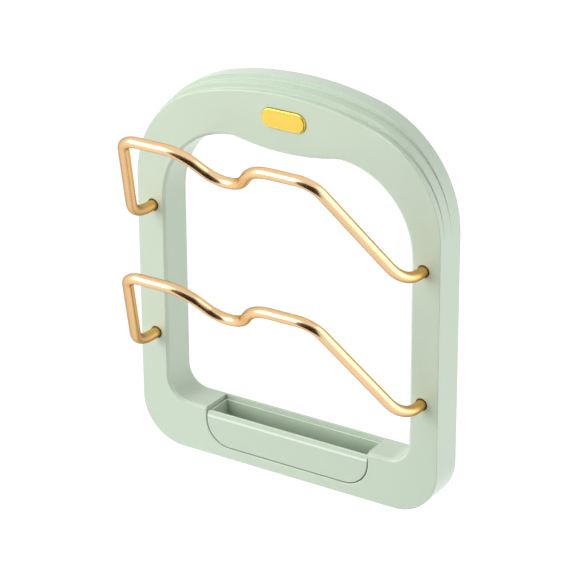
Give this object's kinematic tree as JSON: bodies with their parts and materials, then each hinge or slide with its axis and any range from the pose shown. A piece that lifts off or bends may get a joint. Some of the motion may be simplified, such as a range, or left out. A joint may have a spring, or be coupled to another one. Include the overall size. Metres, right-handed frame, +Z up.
{
  "type": "pot lid rack",
  "caption": "Arched wall-hung rack whose hollow frame carries bent-wire hoops with dipped crossbars that hold pot lids, above a lift-out drip tray in its sill.",
  "frame": {"origin": "on the wall plane, halfway between the entry circles of the two keyholes", "axes": "+X to the right seen from the front, +Y from the front towards the wall, +Z up"},
  "size_m": [0.222, 0.1029, 0.2676],
  "materials": {
    "frame_plastic": "satin mint green moulding",
    "tray_plastic": "satin mint green moulding",
    "hoop_wire": "steel wire with a satin champagne gold coat",
    "badge_metal": "bright yellow gold",
    "sleeve_rubber": "matt black",
    "screw_steel": "zinc plated"
  },
  "bodies": {
    "frame": {"front_shell": "frame_plastic", "back_cover": "frame_plastic", "badge": "badge_metal", "cover_screws": "screw_steel", "upper_left_sleeve": "sleeve_rubber", "upper_right_sleeve": "sleeve_rubber", "lower_left_sleeve": "sleeve_rubber", "lower_right_sleeve": "sleeve_rubber"},
    "upper_hoop": {"upper_hoop": "hoop_wire"},
    "lower_hoop": {"lower_hoop": "hoop_wire"},
    "drip_tray": {"drip_tray": "tray_plastic"}
  },
  "joints": [
    {"name": "upper_hoop_pull", "type": "slide", "parent": "frame", "child": "upper_hoop", "axis": [0, -1, 0], "range_m": [0, 0.022]},
    {"name": "lower_hoop_pull", "type": "slide", "parent": "frame", "child": "lower_hoop", "axis": [0, -1, 0], "range_m": [0, 0.022]},
    {"name": "drip_tray_lift", "type": "slide", "parent": "frame", "child": "drip_tray", "axis": [0, 0, 1], "range_m": [0, 0.03]}
  ]
}
